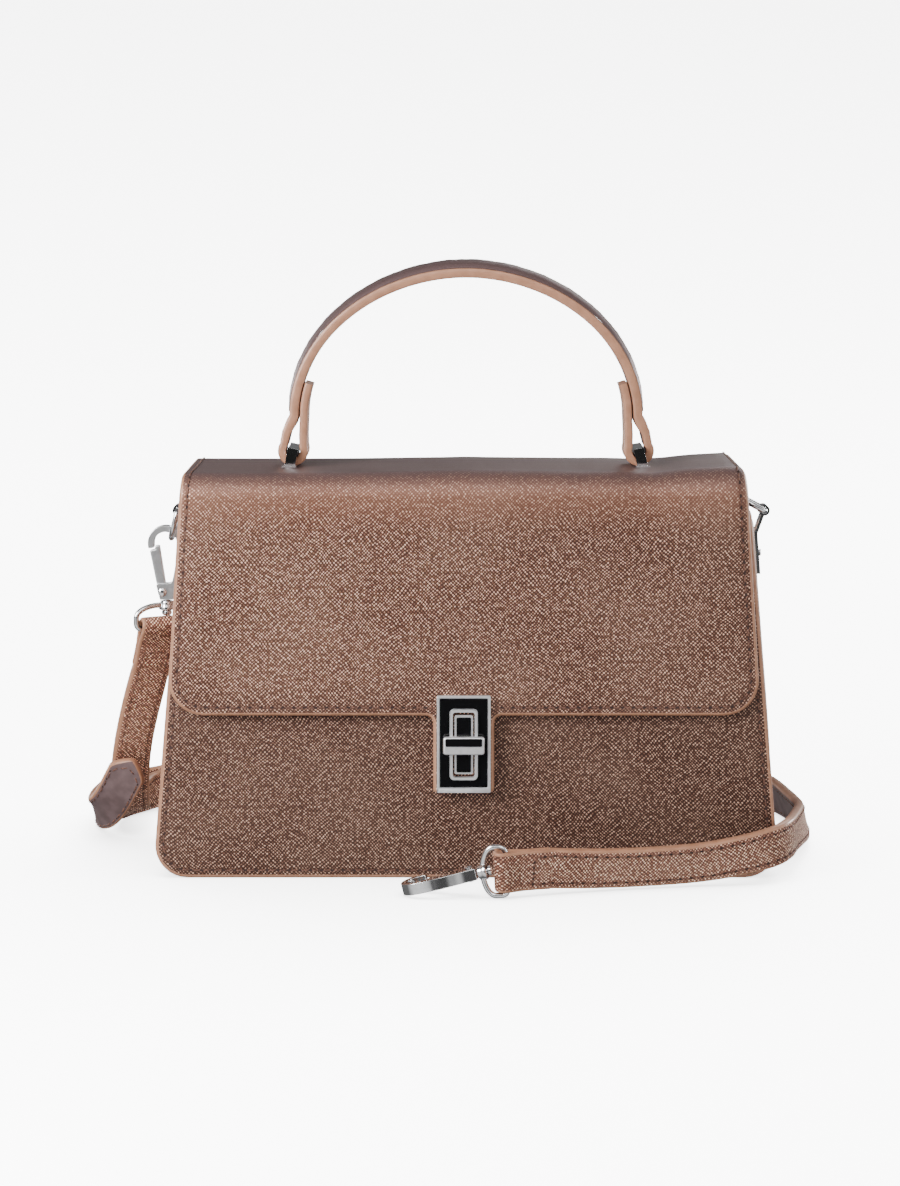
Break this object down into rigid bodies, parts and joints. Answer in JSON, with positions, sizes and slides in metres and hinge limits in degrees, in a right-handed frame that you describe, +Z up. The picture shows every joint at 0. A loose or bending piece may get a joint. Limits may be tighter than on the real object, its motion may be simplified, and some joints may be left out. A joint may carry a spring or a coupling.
{
  "type": "crossbody bag",
  "caption": "Structured flap bag that stands on its base, with a padded top handle, a turn lock on the flap and a detachable shoulder strap on trigger hooks.",
  "frame": {"origin": "on the floor under the middle of the bag's base", "axes": "+X to the viewer's right, along the bag's width; -Y towards the viewer, the flap's front; +Z up"},
  "size_m": [0.3111, 0.2598, 0.2491],
  "materials": {
    "bronze_grained_leather": "cross-hatched grain with a bronze sheen, painted tan edges",
    "lining_leather": "smooth, matte",
    "lining_fabric": "plain weave",
    "stiffener_board": "pressed board",
    "polished_chrome": "polished",
    "plain_steel": "plain",
    "black_enamel": "glossy black enamel"
  },
  "bodies": {
    "bag": {"back_panel": "bronze_grained_leather", "base_board": "stiffener_board", "base_panel": "bronze_grained_leather", "buckle_frame": "polished_chrome", "buckle_prong": "polished_chrome", "catch_magnet": "plain_steel", "front_panel": "bronze_grained_leather", "gusset_left": "bronze_grained_leather", "gusset_right": "bronze_grained_leather", "hook_left_body": "polished_chrome", "hook_left_pin": "polished_chrome", "hook_left_ring": "polished_chrome", "hook_left_rivet": "polished_chrome", "hook_right_body": "polished_chrome", "hook_right_pin": "polished_chrome", "hook_right_ring": "polished_chrome", "hook_right_rivet": "polished_chrome", "inner_pocket": "lining_fabric", "lining": "lining_fabric", "side_lug_left": "polished_chrome", "side_lug_right": "polished_chrome", "side_rivet_left_back": "polished_chrome", "side_rivet_left_front": "polished_chrome", "side_rivet_right_back": "polished_chrome", "side_rivet_right_front": "polished_chrome", "strap_keeper": "bronze_grained_leather", "strap_long": "bronze_grained_leather", "strap_short": "bronze_grained_leather", "strap_tail": "bronze_grained_leather"},
    "flap": {"flap": "bronze_grained_leather", "flap_lining": "lining_leather", "lock_plate": "polished_chrome", "lock_enamel": "black_enamel", "lock_slot_rim": "polished_chrome", "lock_boss": "polished_chrome", "lock_boss_inlay": "black_enamel", "lock_back_plate": "plain_steel", "handle_strap": "bronze_grained_leather", "handle_cover": "bronze_grained_leather", "handle_ring_left": "polished_chrome", "handle_ring_right": "polished_chrome", "handle_plate_left": "plain_steel", "handle_plate_right": "plain_steel", "handle_nut_1": "plain_steel", "handle_nut_2": "plain_steel", "handle_nut_3": "plain_steel", "handle_nut_4": "plain_steel"},
    "turn_bar": {"turn_bar": "polished_chrome", "turn_bar_inlay": "black_enamel", "lock_spindle": "polished_chrome"},
    "d_ring_left": {"d_ring_left": "polished_chrome"},
    "d_ring_right": {"d_ring_right": "polished_chrome"},
    "hook_left_gate": {"hook_left_gate": "polished_chrome"},
    "hook_right_gate": {"hook_right_gate": "polished_chrome"}
  },
  "joints": [
    {"name": "flap_hinge", "type": "hinge", "parent": "bag", "child": "flap", "pos_m": [0, 0.03319, 0.15965], "axis": [-1, 0, 0], "range_deg": [0, 115]},
    {"name": "turn_bar_turn", "type": "hinge", "parent": "flap", "child": "turn_bar", "pos_m": [-0.001, -0.043, 0.0562], "axis": [0, -0.9991, 0.0426], "range_deg": [0, 90]},
    {"name": "d_ring_left_swing", "type": "hinge", "parent": "bag", "child": "d_ring_left", "pos_m": [-0.11807, 0, 0.1458], "axis": [0, 1, 0], "range_deg": [-1, 10]},
    {"name": "d_ring_right_swing", "type": "hinge", "parent": "bag", "child": "d_ring_right", "pos_m": [0.12247, 0, 0.1458], "axis": [0, 1, 0], "range_deg": [0, 230]},
    {"name": "hook_left_gate_press", "type": "hinge", "parent": "bag", "child": "hook_left_gate", "pos_m": [-0.1251, 0, 0.1117], "axis": [0, 1, 0], "range_deg": [0, 18], "stiffness_Nm_per_rad": 0.05, "springref_deg": -17.19},
    {"name": "hook_right_gate_press", "type": "hinge", "parent": "bag", "child": "hook_right_gate", "pos_m": [0.0013, -0.06898, 0.00923], "axis": [-0.2382, 0.042, 0.9703], "range_deg": [0, 18], "stiffness_Nm_per_rad": 0.05, "springref_deg": -17.19}
  ]
}
